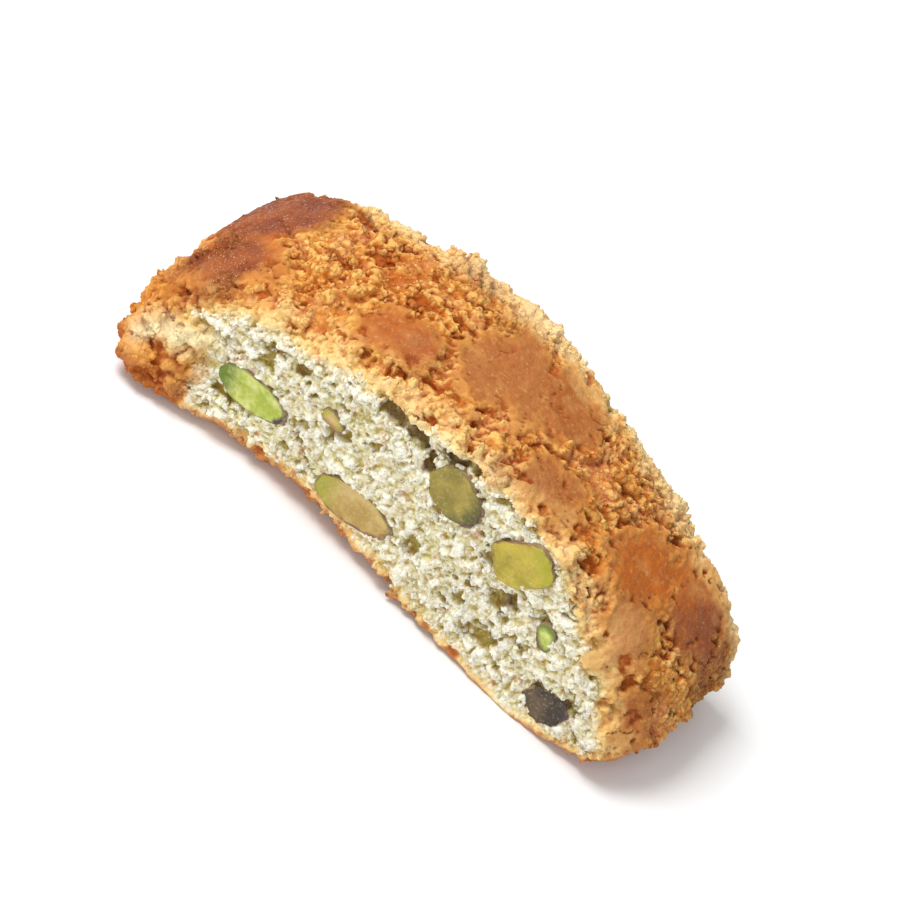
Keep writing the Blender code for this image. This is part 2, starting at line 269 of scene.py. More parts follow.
# Its fine texture: knobbly golden dough with sharp creases where the crust broke, low dents and a few cracks
# in the smooth plates, and clotted crumb with ragged gaps where the knife went through. A socket is pressed
# in the crumb round each pistachio piece.
CRAG_KNOBS = ((3.0, 2.0), (1.5, 1.3), (0.8, 0.55))
CRUMB_CLOTS = ((2.4, 1.45), (1.15, 1.0), (0.7, 0.5))
KNOB_MEAN, CLOT_MEAN = 0.21, 0.30
CLOT_TOP, CLOT_SHAVED = 0.35, 0.4  # the knife leaves this share of what stands higher than the first
NOISE_SEED = 7
NEAREST_POINTS, LEAST_FAR = 3, 0.1 * MM  # how a fine point takes its values from the plain form
KNOB_WARP = (0.7, 0.5)  # how often to the millimetre, and by how much the knobs are pushed out of true
CALM, CALM_SPAN = (0.13, 0.35), (-0.35, 0.15)  # how often to the millimetre the crags calm down, and how low
CRUMB_GAPS = (2.7, 0.30, 0.50, 1.15)  # size, where a gap starts and is full, depth
GAP_STRETCH, GAP_FRAY, FRAY_SIZE = 1.6, 0.45, 0.8  # gaps are longer along the slice, with ragged edges
CRAG_PITS = (2.6, 0.34, 0.52, 0.95)
PLATE_PITS = (1.9, 0.30, 0.46, 0.75)
PITTED = (-3.6, -1.2)  # pits lie near a plate's border: none from the first inward, all from the second out
# Places where the crust baked darkest: x, y, radius, how dark.
TOASTED = (
    (-40.5, 6.0, 9.0, 1.0), (-38.5, -6.5, 5.5, 0.95), (-35.5, -12.5, 3.0, 0.6), (-8.0, -6.5, 3.5, 0.35),
    (-11.0, 10.0, 3.6, 0.32), (-4.0, 8.2, 3.2, 0.26), (39.5, -0.5, 3.2, 0.55), (44.0, 5.0, 5.0, 0.6),
    (43.0, -9.0, 2.5, 0.4), (13.0, -12.0, 3.0, 0.3),
)
TOAST_EDGE, TOAST_WANDER = 2.2, ((0.22, 2.6), (0.7, 1.2))
# The nose at the front left: a pale strip through these x and z, and under it crust orange, darkened as
# painted shade.
PALE_STRIP = ((-40.5, 7.4), (-37.9, 9.4), (-33.5, 11.6), (-30.5, 12.4))
STRIP_WIDTH, STRIP_IN_FRONT = 1.5, (-11.0, -13.5)
NOSE_WANDER_LOW, NOSE_WANDER_SIDE = (0.5, 1.5), (0.7, 1.0)
NOSE_X, NOSE_Y, NOSE_Z, NOSE_DEEP_Z = (-29.3, -31.3), (-7.0, -12.0), (9.3, 7.0), (6.0, 2.5)
NOSE_TIP_X, NOSE_TIP_SHARE = (-36.5, -40.5), 0.75
RIM_FAR_SIDE = 1.8  # how much wider the pale rim is along the far cut, in millimetres
RIM_LESS = (-30.0, -35.0, 5.0)  # the pale rim fades along the nose
PLATE_ROUGHNESS = ((0.35, 0.16), (0.8, 0.12), (1.9, 0.07))
CRACK_CELL, CRACK_WIDTH, CRACK_DEPTH = 9.0, 0.030, 0.35
CRACK_WARP, CRACKED, CRACKED_SPAN = (0.42, 0.30), 0.16, (0.05, 0.35)
LIFTED_RIM = (-0.75, 0.50, 0.24)  # where it is from a plate's border, its width and height
UNDER_FACES, UNDER_Z, FLAT_TO = (-0.55, -0.85), (1.6, 0.6), (0.05, 2.1)  # the base has no texture
PLATE_FRAY, PLATE_BORDER = ((0.55, 1.3), (1.3, 0.8)), 0.8
BORDER_WARP = ((0.33, 1.2), (0.95, 0.75))  # how the border between crust and crumb is frayed
FRONT, BACK = -1, 1
# Name, x, z, half-length, half-height, half-depth, turn in degrees, squareness, and the cut face it lies in.
PISTACHIOS = (
    ("pistachio_front_left", -23.0, 9.6, 6.0, 2.8, 3.6, 7, 2.0, FRONT),
    ("pistachio_front_low", -3.0, 7.2, 6.5, 2.9, 3.4, 8, 2.1, FRONT),
    ("pistachio_front_crown", 8.0, 21.2, 4.4, 3.6, 3.8, -14, 2.3, FRONT),
    ("pistachio_front_right", 20.3, 20.4, 4.6, 3.4, 3.3, 42, 3.0, FRONT),
    ("pistachio_front_end", 33.4, 4.9, 3.3, 2.5, 3.0, 38, 2.8, FRONT),
    ("pistachio_back_left", -28.5, 8.2, 5.4, 2.8, 3.4, -8, 2.0, BACK),
    ("pistachio_back_middle", -8.5, 18.5, 6.0, 3.0, 3.6, 12, 2.1, BACK),
    ("pistachio_back_right", 24.5, 16.0, 4.4, 3.1, 3.4, -20, 2.6, BACK),
)
SOCKET_DEPTH, SOCKET_EDGE, SOCKET_REACH = 0.50, (1.02, 0.86), 1.3
SOCKET_FRAY = (1.1, 0.16)


def knobs(p, rows, mean):
    """Knobs with sharp creases between them, less their mean height."""
    return sum(
        height * (abs(noise.noise(p / size + Vector((size, 0, 3 * size)))) - mean) for size, height in rows
    )


def gap_at(p, row, offset):
    """1 in a ragged gap, 0 outside it."""
    size, start, full, _ = row
    q = Vector((p.x / GAP_STRETCH, p.y, p.z))
    return smooth_step(start, full, noise.noise(q / size + offset) + GAP_FRAY * noise.noise(q / FRAY_SIZE))


def toast_at(p):
    wander = wandering(p, TOAST_WANDER)
    return max(
        dark * smooth_step(TOAST_EDGE, -TOAST_EDGE, math.hypot(p.x - cx, p.y - cy) - radius + wander)
        for cx, cy, radius, dark in TOASTED
    )


def nose_at(p):
    """How much of the pale strip shows at p, and of the orange below it with its painted shade, over 1 where
    that is deepest.
    """
    away = FAR_AWAY
    for (ax, az), (bx, bz) in zip(PALE_STRIP, PALE_STRIP[1:]):
        run = Vector((bx - ax, bz - az))
        along = min(max(((p.x - ax) * run.x + (p.z - az) * run.y) / run.length_squared, 0.0), 1.0)
        away = min(away, math.hypot(p.x - ax - along * run.x, p.z - az - along * run.y))
    strip = math.exp(-(away / STRIP_WIDTH) ** 2) * smooth_step(*STRIP_IN_FRONT, p.y)
    low = p.z + wandering(p, (NOSE_WANDER_LOW,))
    in_front = smooth_step(*NOSE_Y, p.y)
    side = p.x + wandering(p, (NOSE_WANDER_SIDE,))
    below = smooth_step(*NOSE_X, side) * in_front * smooth_step(*NOSE_Z, low)
    below *= 1 + smooth_step(*NOSE_DEEP_Z, low)
    tip = NOSE_TIP_SHARE * smooth_step(*NOSE_TIP_X, p.x) * in_front
    return strip, max(below, tip * (1 - strip))


def cracks(p):
    often, reach = CRACK_WARP
    near = noise.voronoi(p / CRACK_CELL + reach * noise.noise_vector(p * often))[0]
    line = math.exp(-((near[1] - near[0]) / CRACK_WIDTH) ** 2)
    return CRACK_DEPTH * line * smooth_step(*CRACKED_SPAN, noise.noise(p * CRACKED + Vector((3, 5, 7))))


def socket_depth(p, face):
    deepest = 0.0
    for _, cx, cz, length, height, _, degrees, square, side in PISTACHIOS:
        if side != face:
            continue
        u, v = turned(p.x, p.z, cx, cz, degrees)
        reach = (abs(u / length) ** square + abs(v / height) ** square) ** (1 / square)
        if reach < SOCKET_REACH:
            reach += wandering(p, (SOCKET_FRAY,))
            deepest = max(deepest, SOCKET_DEPTH * smooth_step(*SOCKET_EDGE, reach))
    return deepest


noise.seed_set(NOISE_SEED)
count = len(slice_mesh.vertices)
cut_of, edge_of, dark_of, hole_of, under_of = np.zeros((5, count))
down_of, gap_of, toast_of, strip_of, nose_of = np.zeros((5, count))
normals = [vert.normal.copy() for vert in slice_mesh.vertices]
for index, (vert, n) in enumerate(zip(slice_mesh.vertices, normals)):
    p = vert.co / MM
    warp = sum((reach * noise.noise_vector(p * often) for often, reach in BORDER_WARP), Vector())
    found = plain_tree.find_n(vert.co + warp * MM, NEAREST_POINTS)
    near = [(which, far + LEAST_FAR) for _, which, far in found]
    mixed = sum((plain_values[which] / far for which, far in near), Vector())
    cut, hole, down = mixed / sum(1 / far for _, far in near)
    edge, dark = plate_at(p)
    edge += wandering(p, PLATE_FRAY)
    share = smooth_step(PLATE_BORDER, -PLATE_BORDER, edge)
    often, reach = KNOB_WARP
    q = p + reach * noise.noise_vector(p * often)
    outside = inside = gap = 0.0
    if cut < 1 and share < 1:
        often, lowest = CALM
        calm = lowest + (1 - lowest) * smooth_step(*CALM_SPAN, noise.noise(p * often + Vector((9, 2, 4))))
        pit = gap_at(q, CRAG_PITS, Vector((4, 4, 9)))
        outside = knobs(q, CRAG_KNOBS, KNOB_MEAN) * calm - CRAG_PITS[-1] * pit
        gap = pit * (1 - share) * (1 - cut)
    if cut < 1 and share > 0:
        inward, width, lift = LIFTED_RIM
        plate = wandering(p, PLATE_ROUGHNESS) + lift * math.exp(-((edge - inward) / width) ** 2) - cracks(p)
        pit = gap_at(q, PLATE_PITS, Vector((7, 2, 5))) * smooth_step(*PITTED, edge)
        plate -= PLATE_PITS[-1] * pit
        gap = max(gap, pit * (1 - cut))
        outside += (plate - outside) * share
    if cut > 0:
        void = gap_at(q, CRUMB_GAPS, Vector((1, 7, 2)))
        clots = knobs(q, CRUMB_CLOTS, CLOT_MEAN)
        clots = min(clots, CLOT_TOP + (clots - CLOT_TOP) * CLOT_SHAVED)
        dent = socket_depth(p, FRONT if p.y < 0 else BACK)
        inside = (clots - CRUMB_GAPS[-1] * void) * (1 - dent / SOCKET_DEPTH) - dent
        gap = max(gap, void * cut)
    under = smooth_step(*UNDER_FACES, n.z) * smooth_step(*UNDER_Z, p.z)
    kept = smooth_step(*FLAT_TO, p.z) * (1 - under)
    vert.co += n * (outside + (inside - outside) * cut) * kept * MM
    cut_of[index], edge_of[index], dark_of[index], under_of[index] = cut, edge, dark, under
    hole_of[index], down_of[index], gap_of[index], toast_of[index] = hole, down, gap, toast_at(p)
    strip_of[index], nose_of[index] = nose_at(p)


# Colours that follow its form: tips and hollows, found by comparing each point with its neighbours, carry
# painted highlight and painted shade, and the crumb turns yellow, then brown, over the last two millimetres
# before crust and base.
FINE_ROUNDS, BROAD_ROUNDS, SOFT_ROUNDS = 5, 40, 26
FACING_DOWN = 0.5  # from here on a face that looks down is browned by the tray
EDGE_REACH = 6


def spread(mesh, values, rounds):
    """Values averaged with their neighbours' again and again."""
    ends = np.empty(len(mesh.edges) * 2, np.int32)
    mesh.edges.foreach_get("vertices", ends)
    a, b = ends[::2], ends[1::2]
    degree = np.bincount(ends, minlength=len(mesh.vertices)).astype(np.float64)
    for _ in range(rounds):
        around = np.stack([
            np.bincount(a, values[b, k], len(degree)) + np.bincount(b, values[a, k], len(degree))
            for k in range(values.shape[1])
        ], axis=1)
        values = 0.5 * values + 0.5 * around / degree[:, None]
    return values


def points_of(mesh):
    co = np.empty(len(mesh.vertices) * 3)
    mesh.vertices.foreach_get("co", co)
    return co.reshape(-1, 3)


def add_values(mesh, name, values):
    mesh.attributes.new(name, "FLOAT", "POINT").data.foreach_set("value", np.asarray(values, np.float32))


slice_mesh.update()
at = points_of(slice_mesh)
facing = np.array([vert.normal[:] for vert in slice_mesh.vertices])
# how far each point lies in a hollow: the colours darken hollows as painted shade and lighten tips as painted
# highlight
hollow_fine = ((spread(slice_mesh, at, FINE_ROUNDS) - at) * facing).sum(1) / MM
hollow_broad = ((spread(slice_mesh, at, BROAD_ROUNDS) - at) * facing).sum(1) / MM
browned = np.maximum(down_of - FACING_DOWN, 0) / FACING_DOWN
sharp = np.stack([cut_of, dark_of, browned], axis=1)
soft = spread(slice_mesh, sharp, SOFT_ROUNDS)
nose_share = np.clip((at[:, 0] / MM - RIM_LESS[0]) / (RIM_LESS[1] - RIM_LESS[0]), 0, 1)
rim_of = np.abs(at[:, 1]) / MM - nose_share * RIM_LESS[2] + RIM_FAR_SIDE * (at[:, 1] > 0)
surface = {
    "cut": cut_of, "cut_soft": soft[:, 0], "edge": np.clip(edge_of, -EDGE_REACH, EDGE_REACH),
    "dark": soft[:, 1], "low": soft[:, 2], "down": down_of, "hole": hole_of, "gap": gap_of, "under": under_of,
    "hollow_fine": hollow_fine, "hollow_broad": hollow_broad, "tone": np.full(count, 0.5),
    "toast": toast_of, "rim": rim_of, "strip": strip_of, "nose": nose_of,
}
for name, values in surface.items():
    add_values(slice_mesh, name, values)
slice_mesh.polygons.foreach_set("use_smooth", [True] * len(slice_mesh.polygons))


# Its colours: dry, matt baked dough, which runs from cream crumb through golden crags to brown plates, with
# the darkest crust at the nose's end and pale, dusty edges where the knife went through. Hollows, creases,
# pits, holes and faces that look down are darkened as painted shade, and tips lightened as painted highlight.
def linear(red, green, blue):
    """A colour given on the 0 to 255 scale, as light."""
    shares = (red / 255, green / 255, blue / 255)
    return tuple(c / 12.92 if c <= 0.04 else ((c + 0.055) / 1.055) ** 2.4 for c in shares)


class Finish:
    """A finish mixed from a material's nodes, by short names."""

    def __init__(self, name):
        self.material = bpy.data.materials.new(name)
        self.material.use_nodes = True
        self.tree = self.material.node_tree
        self.shader = self.tree.nodes["Principled BSDF"]

    def node(self, kind, **settings):
        made = self.tree.nodes.new(kind)
        for key, value in settings.items():
            setattr(made, key, value)
        return made

    def put(self, value, socket):
        if isinstance(value, bpy.types.NodeSocket):
            self.tree.links.new(value, socket)
        elif isinstance(value, tuple) and len(value) == 3 and socket.type == "RGBA":
            socket.default_value = (*value, 1)
        else:
            socket.default_value = value

    def values(self, name):
        return self.node("ShaderNodeAttribute", attribute_name=name).outputs["Fac"]

    def place(self):
        return self.node("ShaderNodeTexCoord").outputs["Object"]

    def math(self, operation, a, b=0.0):
        made = self.node("ShaderNodeMath", operation=operation)
        self.put(a, made.inputs[0])
        self.put(b, made.inputs[1])
        return made.outputs[0]

    def ramp(self, value, low, high, to_low=0.0, to_high=1.0):
        made = self.node("ShaderNodeMapRange", clamp=True)
        for socket, given in zip(made.inputs, (value, low, high, to_low, to_high)):
            self.put(given, socket)
        return made.outputs[0]

    def layered(self, colour, layers):
        """Colours laid over one another: each by a value, from where it starts to where it is at its most."""
        for value, start, full, most, over in layers:
            colour = self.mix(self.ramp(value, start, full, 0.0, most), colour, over)
        return colour

    def mix(self, share, a, b):
        made = self.node("ShaderNodeMix", data_type="RGBA")
        self.put(share, made.inputs[0])
        self.put(a, made.inputs[6])
        self.put(b, made.inputs[7])
        return made.outputs[2]

    def noise(self, scale, detail=3.0, roughness=0.55):
        made = self.node("ShaderNodeTexNoise")
        self.put(self.place(), made.inputs["Vector"])
        made.inputs["Scale"].default_value = scale
        made.inputs["Detail"].default_value = detail
        made.inputs["Roughness"].default_value = roughness
        return made.outputs["Fac"]

    def grains(self, scale, warp_scale, warp):
        """Distance from the middle of the nearest grain; the grains are pushed out of true by noise."""
        bend = self.node("ShaderNodeTexNoise")
        self.put(self.place(), bend.inputs["Vector"])
        bend.inputs["Scale"].default_value = warp_scale
        moved = self.node("ShaderNodeVectorMath", operation="MULTIPLY_ADD")
        self.put(bend.outputs["Color"], moved.inputs[0])
        moved.inputs[1].default_value = (warp, warp, warp)
        self.put(self.place(), moved.inputs[2])
        made = self.node("ShaderNodeTexVoronoi", feature="F1")
        self.put(moved.outputs[0], made.inputs["Vector"])
        made.inputs["Scale"].default_value = scale
        return made.outputs["Distance"]

    def bump(self, height, distance, strength=1.0, onto=None):
        made = self.node("ShaderNodeBump")
        made.inputs["Strength"].default_value = strength
        made.inputs["Distance"].default_value = distance
        self.put(height, made.inputs["Height"])
        if onto is not None:
            self.put(onto, made.inputs["Normal"])
        return made.outputs["Normal"]


dough = Finish("baked dough")
fine, broad = dough.values("hollow_fine"), dough.values("hollow_broad")
cut, cut_soft, low = dough.values("cut"), dough.values("cut_soft"), dough.values("low")
tone, edge, dark = dough.values("tone"), dough.values("edge"), dough.values("dark")
gap, hole, down = dough.values("gap"), dough.values("hole"), dough.values("down")
toast, strip, nose = dough.values("toast"), dough.values("strip"), dough.values("nose")
drift, blotch = dough.noise(45, 2), dough.noise(110, 3)
hue, patchy = dough.noise(190, 3), dough.noise(260, 4)
freckle, speckle, painted_glint = dough.noise(700, 4), dough.noise(1600, 4), dough.noise(4200, 2)
knob, clot = dough.grains(1050, 900, 0.9 * MM), dough.grains(1350, 1200, 0.7 * MM)
PLATE_RAGGED = 5.0  # millimetres that a plate's colour wanders over its border
ragged = dough.math("MULTIPLY_ADD", dough.noise(420, 4), PLATE_RAGGED)
ragged.node.inputs[2].default_value = -PLATE_RAGGED / 2
plate = dough.ramp(dough.math("ADD", edge, ragged), 0.55, -0.95)
outward = dough.math("ADD", dough.values("rim"), dough.math("MULTIPLY", patchy, 12.0))

crag = dough.layered(linear(184, 92, 22), (
    (broad, 0.75, -0.45, 1.0, linear(226, 152, 62)),  # painted shade where deep, then painted light where it stands out
    (patchy, 0.50, 0.66, 0.65, linear(202, 112, 32)),
    (blotch, 0.52, 0.64, 0.65, linear(240, 184, 90)),
    (blotch, 0.46, 0.34, 0.75, linear(178, 88, 22)),
    (drift, 0.54, 0.64, 0.35, linear(242, 190, 100)),
    (hue, 0.50, 0.60, 0.5, linear(222, 158, 110)),
    (freckle, 0.56, 0.68, 0.45, linear(196, 92, 26)),
    (outward, 15.5, 19.0, 0.85, linear(252, 218, 146)),  # pale beside the cuts
    # darker between the grains of the bump: painted shade
    (knob, 0.25, 0.68, 0.5, linear(182, 92, 24)),
    (fine, 0.0, -0.16, 0.6, linear(252, 206, 118)),  # tips, painted highlight
    (fine, 0.04, 0.22, 0.8, linear(156, 72, 14)),  # creases, painted shade
    (tone, 0.6, 1.0, 0.65, linear(254, 214, 132)),  # pale and brown loose knobs
    (tone, 0.5, 0.0, 0.5, linear(200, 98, 20)),
    # pits darker: painted shade
    (gap, 0.1, 0.9, 0.85, linear(178, 88, 20)),
    (outward, 18.0, 22.0, 0.6, linear(250, 226, 176)),  # dusty edge
    # painted glints: tiny painted highlights
    (painted_glint, 0.66, 0.74, 0.5, linear(255, 240, 205)),
))
skin = dough.layered(linear(176, 112, 56), (
    (dark, 0.20, 0.45, 1.0, linear(190, 100, 22)),  # dark plates, then the palest
    (dark, 0.17, 0.09, 0.7, linear(220, 158, 98)),
    (blotch, 0.46, 0.60, 0.45, linear(166, 86, 30)),
    (patchy, 0.48, 0.32, 0.5, linear(204, 146, 82)),
    (drift, 0.50, 0.60, 0.6, linear(162, 84, 30)),
    (edge, -2.6, -0.5, 0.6, linear(214, 146, 64)),  # lighter toward a plate's border
    (outward, 15.5, 19.0, 0.6, linear(244, 200, 124)),
    # darker in hollows, creases and pits: painted shade
    (broad, 0.10, 0.45, 0.5, linear(164, 80, 22)),
    (fine, 0.03, 0.14, 0.7, linear(146, 64, 14)),
    (gap, 0.1, 0.8, 0.85, linear(172, 84, 16)),
    (freckle, 0.54, 0.70, 0.45, linear(168, 88, 34)),
    (speckle, 0.56, 0.70, 0.35, linear(226, 170, 98)),
))
toasted = dough.layered(linear(122, 54, 24), (
    (patchy, 0.40, 0.62, 1.0, linear(152, 78, 36)),
    # darker in creases: painted shade
    (fine, 0.03, 0.16, 0.7, linear(108, 44, 14)),
    (painted_glint, 0.63, 0.70, 0.7, linear(250, 214, 176)),  # painted glints: tiny painted highlights
))
toast = dough.math("MULTIPLY", toast, dough.ramp(blotch, 0.25, 0.45, 0.6, 0.95))
crust_colour = dough.mix(toast, dough.mix(plate, crag, skin), toasted)
# crust that faces down darkened: painted shade
crust_colour = dough.layered(crust_colour, ((down, 0.1, 0.7, 0.75, linear(176, 84, 20)),))

rust = dough.math("ADD", low, dough.math("MULTIPLY", dough.ramp(freckle, 0.45, 0.75), 0.5))
crumb = dough.layered(linear(252, 240, 210), (
    (patchy, 0.38, 0.62, 1.0, linear(240, 230, 184)),
    (blotch, 0.52, 0.66, 0.5, linear(232, 218, 196)),
    (broad, 0.05, 0.45, 0.75, linear(210, 190, 108)),  # painted shade where deep, then painted highlight where it stands out
    (broad, -0.02, -0.25, 0.85, linear(255, 252, 240)),
    # darker between the grains of the bump and in creases, whiter on tips: painted shade and painted
    # highlight
    (clot, 0.25, 0.70, 0.40, linear(212, 202, 138)),
    (fine, 0.02, -0.12, 0.7, linear(255, 252, 236)),
    (fine, 0.05, 0.22, 0.7, linear(182, 156, 74)),
    (hue, 0.55, 0.66, 0.45, linear(212, 202, 124)),
    (speckle, 0.63, 0.70, 0.55, linear(176, 128, 66)),
    # gaps and holes darker: painted shade
    (gap, 0.1, 0.9, 0.8, linear(166, 142, 60)),
    (hole, 0.3, 1.2, 0.9, linear(112, 84, 36)),
    (cut_soft, 0.985, 0.6, 0.85, linear(246, 206, 118)),  # yellow toward the crust
    (tone, 0.5, 1.0, 0.8, linear(255, 252, 240)),  # white and yellow loose grains
    (tone, 0.5, 0.0, 0.5, linear(222, 210, 146)),
    (rust, 0.24, 0.50, 0.85, linear(190, 104, 40)),  # browned toward the base
))
# The orange crust under the nose: painted light where it stands out, painted shade in hollows and where it is
# lowest.
nose_orange_and_shade = dough.layered(linear(176, 84, 12), (
    (broad, 0.4, -0.3, 1.0, linear(224, 150, 60)),
    (nose, 1.0, 1.9, 0.85, linear(166, 72, 10)),
))
baked = dough.layered(dough.mix(cut, crust_colour, crumb), (
    # crust orange under the nose, with its painted shade
    (nose, 0.0, 1.0, 0.85, nose_orange_and_shade),
    (strip, 0.0, 1.0, 0.75, linear(252, 236, 188)),
    (dough.values("under"), 0.0, 1.0, 1.0, linear(186, 122, 64)),
))

dough.put(baked, dough.shader.inputs["Base Color"])
shine = dough.mix(dough.ramp(speckle, 0.45, 0.62), (0.62, 0.62, 0.62), (0.40, 0.40, 0.40))
dough.put(dough.mix(plate, (0.88, 0.88, 0.88), shine), dough.shader.inputs["Roughness"])
dough.shader.inputs["Specular IOR Level"].default_value = 0.25
dough.shader.inputs["Subsurface Weight"].default_value = 0.05
dough.shader.inputs["Subsurface Radius"].default_value = (1.0, 0.55, 0.25)
dough.shader.inputs["Subsurface Scale"].default_value = 0.8 * MM
rough_share = dough.ramp(plate, 1.0, 0.0, 0.25, 1.0)
granular = dough.mix(cut, dough.math("MULTIPLY", knob, rough_share), clot)
granular = dough.math("MULTIPLY", granular, -1.0)
GRAIN_HEIGHT, DUST_HEIGHT = 0.55 * MM, 0.16 * MM
grain = dough.bump(granular, GRAIN_HEIGHT, 0.9)
grain = dough.bump(dough.noise(2800, 5, 0.65), DUST_HEIGHT, 1.0, grain)
grain = dough.bump(dough.noise(900, 3, 0.6), DUST_HEIGHT, 0.8, grain)
dough.put(grain, dough.shader.inputs["Normal"])
slice_mesh.materials.clear()
slice_mesh.materials.append(dough.material)
cookie = new_object("cookie_slice", slice_mesh)
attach(cookie, "root")
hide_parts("cookie")


# Small knobs of broken crust and grains of crumb, baked or pressed onto the slice. Each kind is one piece of
# many rough grains sunk to about half in the surface, and takes its colour from the dough it sits on.
GRAIN_SEED = 7
GRAIN_STRETCH, GRAIN_JITTER = 0.34, 0.36
GRAIN_FOOT, GRAIN_TIP = 0.05, 0.12  # how hollow a grain's foot is to its colour, and how much less its tip: painted shade at the foot, painted highlight on the tip
# Doublings of the first ball, smallest and largest radius, and share of the radius that is sunk.
KNOB_GRAINS, CRUMB_GRAINS = (12, 0.16, 0.50, 0.55), (13, 0.12, 0.46, 0.35)
KERNEL_CLEAR = 0.87  # share of a kernel's half-sizes that grains keep off
BARE_FOOT, FOOT_BLEND = 1.2, 1.5  # millimetres above the tray without grains, and over which they come
TORN_BLEND, DEEPEST, FEWEST, MOST = 0.8, 0.6, 0.05, 1.2  # knobs: most of them on what stands out of the crags


def scatter(name, chances, doublings, smallest, largest, sunk):
    """One ball, doubled again and again, each copy put on a point of the slice drawn by its chance."""
    bm = bmesh.new()
    bmesh.ops.create_icosphere(bm, subdivisions=1, radius=1)
    corners = len(bm.verts)
    for _ in range(doublings):
        bmesh.ops.duplicate(bm, geom=bm.verts[:] + bm.edges[:] + bm.faces[:])
    mesh = bpy.data.meshes.new(name)
    bm.to_mesh(mesh)
    bm.free()
    grains = len(mesh.vertices) // corners
    draw = np.random.default_rng(GRAIN_SEED)
    order = np.lexsort(np.round(at / MM, 2).T)  # the remesh gives its points in any order
    places = order[draw.choice(count, grains, p=chances[order] / chances.sum())]
    radius = smallest + (largest - smallest) * draw.random(grains) ** 2
    frames = np.linalg.qr(draw.normal(size=(grains, 3, 3)))[0]
    ball = points_of(mesh).reshape(grains, corners, 3)
    ball = ball * draw.uniform(1 - GRAIN_STRETCH, 1 + GRAIN_STRETCH, (grains, 1, 3))
    ball *= 1 + draw.uniform(-GRAIN_JITTER, GRAIN_JITTER, (grains, corners, 1))
    ball = np.einsum("gck,gkj->gcj", ball, frames * np.sign(np.linalg.det(frames))[:, None, None])
    outward = facing[places][:, None, :]
    middle = at[places][:, None, :] - outward * (sunk * radius * MM)[:, None, None]
    mesh.vertices.foreach_set("co", (middle + ball * (radius * MM)[:, None, None]).ravel())
    own = {key: np.repeat(values[places], corners) for key, values in surface.items()}
    own["tone"] = np.repeat(draw.random(grains), corners)
    # a grain's foot darker and its tip lighter: painted shade and painted highlight
    own["hollow_fine"] = GRAIN_FOOT - GRAIN_TIP * np.maximum(0, (ball * outward).sum(2)).ravel()
    for key, values in own.items():
        add_values(mesh, key, values)
    mesh.polygons.foreach_set("use_smooth", [True] * len(mesh.polygons))
    mesh.update()
    mesh.transform(Matrix.Translation(CENTRING))
    mesh.materials.append(dough.material)
    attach(new_object(name, mesh), "root")


above = np.clip((at[:, 2] / MM - BARE_FOOT) / FOOT_BLEND, 0, 1) * (1 - under_of)
torn = np.clip(edge_of / TORN_BLEND, 0, 1) * (1 - np.clip(cut_of * 3, 0, 1)) * above
scatter("crust_knobs", torn * np.clip(DEEPEST - hollow_broad, FEWEST, MOST), *KNOB_GRAINS)
open_crumb = np.clip(cut_of * 2 - 1, 0, 1) * above * (1 - np.clip(hole_of * 2, 0, 1)) * (1 - gap_of * 0.8)
for _, cx, cz, length, height, _, degrees, square, side in PISTACHIOS:
    u, v = turned(at[:, 0] / MM, at[:, 2] / MM, cx, cz, degrees)
    reach = (np.abs(u / length) ** square + np.abs(v / height) ** square) ** (1 / square)
    open_crumb = np.where((np.sign(at[:, 1]) == side) & (reach < KERNEL_CLEAR), 0, open_crumb)
scatter("crumb_grains", open_crumb, *CRUMB_GRAINS)

slice_mesh.transform(Matrix.Translation(CENTRING))


# The pistachio pieces: shelled kernels baked into the dough, which the knife went through, so that each has
# one flat side. A thin purple-brown skin shows as a dark rim on one side of the green to yellow inside.
FACE_PROUD, FACE_BEVEL, FACE_ROUND, RIM_REACH = 0.25, 0.16, 0.7, 2.0
KERNEL_ROUNDS = 5  # subdivisions of the ball that each kernel is pressed from
KERNEL_TAPER, KERNEL_LUMP, KERNEL_LUMPS, KERNEL_SUNK = 0.10, 0.05, 1.7, 0.20
OUTLINE_UNEVEN = ((2.6, 0.075), (6.0, 0.040))
RAGGED_KERNEL, RAGGED_BY = "pistachio_front_end_flesh", 2.6  # this one broke up as it was cut
FACE_UNEVEN = ((0.25, 0.34), (0.7, 0.20), (1.8, 0.09))
PURPLE, BROWN, SHADED_SKIN = linear(74, 48, 50), linear(132, 86, 44), linear(134, 108, 74)
# Colours of the middle, light streaks, tip and rim; the end with the tip; the side of the rim in degrees.
KERNEL_COLOURS = {
    "pistachio_front_left": (
        linear(156, 170, 50), linear(206, 208, 124), linear(96, 120, 20), PURPLE, -1, -40),
    "pistachio_front_low": (
        linear(168, 136, 64), linear(194, 164, 102), linear(156, 150, 40), BROWN, -1, -80),
    "pistachio_front_crown": (
        linear(128, 114, 30), linear(158, 138, 54), linear(84, 80, 20), PURPLE, 1, -20),
    "pistachio_front_right": (
        linear(158, 140, 30), linear(186, 166, 52), linear(166, 158, 24), BROWN, 1, 118),
    "pistachio_front_end": (
        linear(48, 36, 22), linear(88, 68, 44), linear(50, 34, 24), PURPLE, 1, -60),
    "pistachio_back_left": (
        linear(146, 150, 54), linear(180, 176, 84), linear(88, 98, 26), PURPLE, 1, 60),
    "pistachio_back_middle": (
        linear(150, 172, 56), linear(198, 200, 104), linear(80, 104, 22), PURPLE, -1, -50),
    "pistachio_back_right": (
        linear(194, 166, 92), linear(216, 190, 130), linear(142, 140, 46), BROWN, 1, 90),
}


